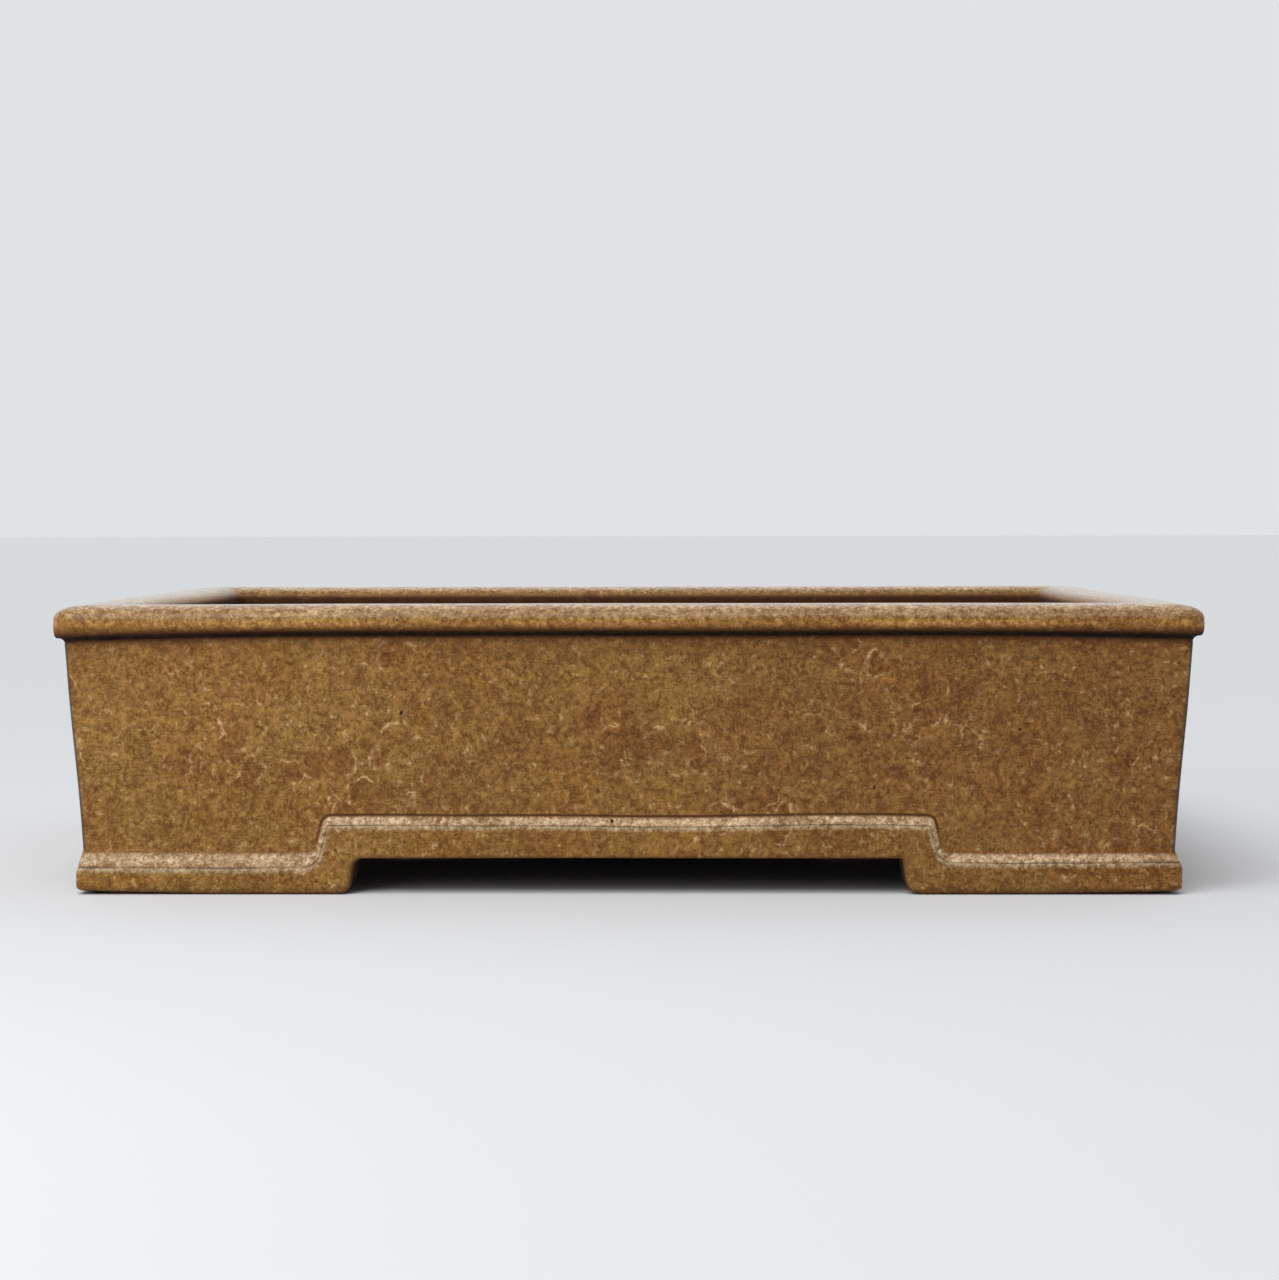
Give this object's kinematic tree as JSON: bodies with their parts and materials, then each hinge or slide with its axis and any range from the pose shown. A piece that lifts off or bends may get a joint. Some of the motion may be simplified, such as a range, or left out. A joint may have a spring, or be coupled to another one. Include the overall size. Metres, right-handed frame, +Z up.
{
  "type": "bonsai pot",
  "caption": "Shallow rectangular stoneware pot for a bonsai tree: tapered glazed walls, overhanging domed rim, stepped foot band, corner feet and a drained clay floor.",
  "frame": {"origin": "on the ground under the middle of the pot, at the bottom centre of its box", "axes": "+X along the width, +Y from the front to the back, +Z up out of the mouth"},
  "size_m": [0.44, 0.3, 0.112],
  "materials": {
    "amber_glaze": "mottled amber-brown gloss glaze, breaking pale on the edges",
    "bare_stoneware": "unglazed fired clay, matt, slightly gritty"
  },
  "bodies": {
    "root": {"floor_slab": "bare_stoneware", "front_wall": "amber_glaze", "right_wall": "amber_glaze", "back_wall": "amber_glaze", "left_wall": "amber_glaze", "front_rim": "amber_glaze", "right_rim": "amber_glaze", "back_rim": "amber_glaze", "left_rim": "amber_glaze", "front_foot_band": "amber_glaze", "right_foot_band": "amber_glaze", "back_foot_band": "amber_glaze", "left_foot_band": "amber_glaze", "front_left_foot": "bare_stoneware", "front_right_foot": "bare_stoneware", "back_right_foot": "bare_stoneware", "back_left_foot": "bare_stoneware", "front_floor_seam": "bare_stoneware", "right_floor_seam": "bare_stoneware", "back_floor_seam": "bare_stoneware", "left_floor_seam": "bare_stoneware", "front_left_corner_seam": "bare_stoneware", "front_right_corner_seam": "bare_stoneware", "back_right_corner_seam": "bare_stoneware", "back_left_corner_seam": "bare_stoneware"}
  },
  "joints": []
}
